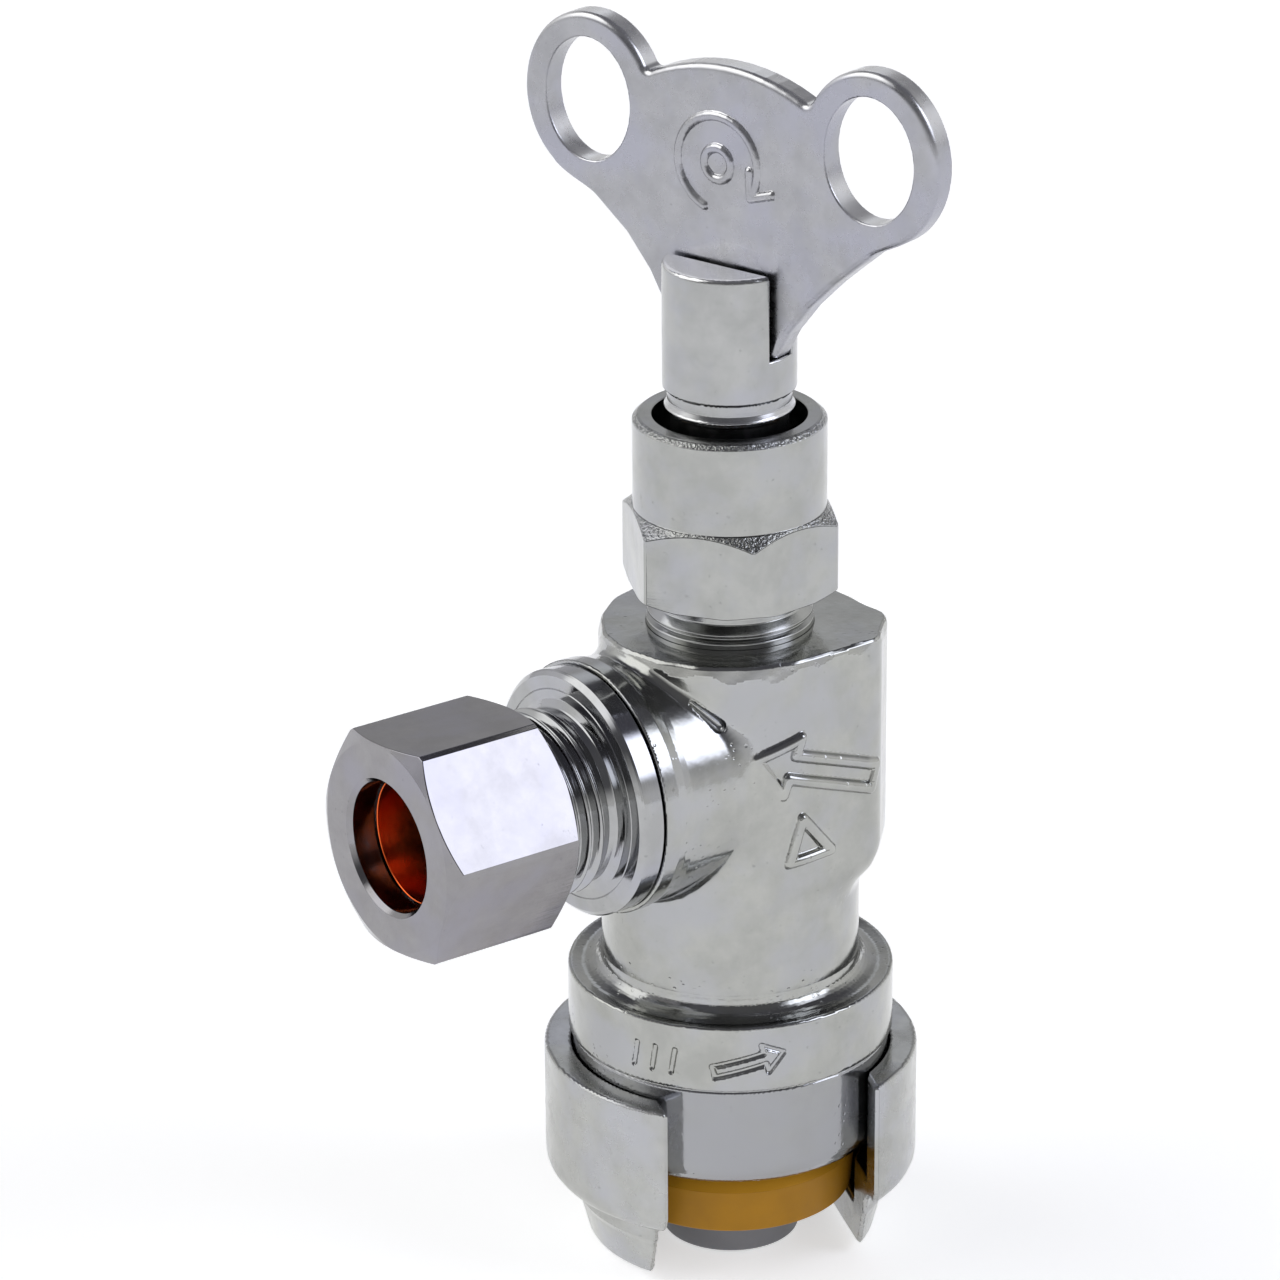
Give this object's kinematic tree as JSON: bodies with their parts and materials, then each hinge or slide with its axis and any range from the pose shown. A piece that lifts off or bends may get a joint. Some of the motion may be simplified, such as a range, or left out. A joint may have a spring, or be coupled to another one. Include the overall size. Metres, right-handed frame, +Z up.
{
  "type": "angle stop valve",
  "caption": "Chrome lockshield angle stop valve with a loose butterfly key, a push-fit inlet with a slotted release clip and a compression outlet with hex nut and ferrule.",
  "frame": {"origin": "on the inlet and stem axis, in the plane of the body's lower end, the mouth of the push-fit inlet", "axes": "+Z up the inlet and stem axis towards the key, -Y along the outlet axis away from the body, +X to the right when looking along +Y"},
  "size_m": [0.0359, 0.0454, 0.0962],
  "materials": {
    "chrome": "bright chrome plate over brass, faint tool and casting marks",
    "satin_chrome": "satin chrome plate over steel",
    "brass": "bare turned brass",
    "stainless": "bright spring steel",
    "rubber": "matt moulded rubber",
    "ochre_plastic": "semi-gloss moulded plastic",
    "grey_plastic": "smooth matt plastic",
    "white_plastic": "smooth moulded plastic"
  },
  "bodies": {
    "valve": {"valve_body": "chrome", "outlet_nipple": "chrome", "nipple_o_ring": "rubber", "lockshield_bonnet": "chrome", "bonnet_o_ring": "rubber", "stem_o_ring": "rubber", "packing_washer": "white_plastic", "gland_ring": "brass", "retaining_ring": "stainless", "cartridge_ring": "white_plastic", "grab_ring": "stainless", "grab_ring_support": "white_plastic", "inlet_o_ring": "rubber", "pipe_liner": "grey_plastic"},
    "jumper": {"jumper": "brass", "seat_washer": "rubber", "washer_nut": "brass"},
    "stem": {"stem": "brass"},
    "key": {"key_shank": "satin_chrome", "key_plate": "satin_chrome"},
    "ferrule": {"ferrule": "brass"},
    "nut": {"compression_nut": "chrome"},
    "collar": {"release_collar": "ochre_plastic"},
    "clip": {"release_clip": "chrome"}
  },
  "joints": [
    {"name": "stem_lift", "type": "slide", "parent": "valve", "child": "jumper", "axis": [0, 0, 1], "range_m": [0, 0.0034]},
    {"name": "stem_turn", "type": "hinge", "parent": "jumper", "child": "stem", "pos_m": [0, 0, 0.05], "axis": [0, 0, 1], "range_deg": [0, 900]},
    {"name": "key_lift", "type": "slide", "parent": "stem", "child": "key", "axis": [0, 0, 1], "range_m": [0, 0.03]},
    {"name": "ferrule_slide", "type": "slide", "parent": "valve", "child": "ferrule", "axis": [0, -1, 0], "range_m": [-0.0016, 0.0032]},
    {"name": "nut_turn", "type": "hinge", "parent": "ferrule", "child": "nut", "pos_m": [0, -0.0254, 0.0316], "axis": [0, -1, 0], "range_deg": [-540, 1080]},
    {"name": "collar_press", "type": "slide", "parent": "valve", "child": "collar", "axis": [0, 0, 1], "range_m": [0, 0.0012]},
    {"name": "clip_turn", "type": "hinge", "parent": "collar", "child": "clip", "pos_m": [0, 0, 0], "axis": [0, 0, 1], "continuous": true}
  ],
  "couplings": [
    {"joint": "stem_lift", "follows": "stem_turn", "m_per_rad": 0.00021486},
    {"joint": "ferrule_slide", "follows": "nut_turn", "m_per_rad": 0.00016844}
  ]
}
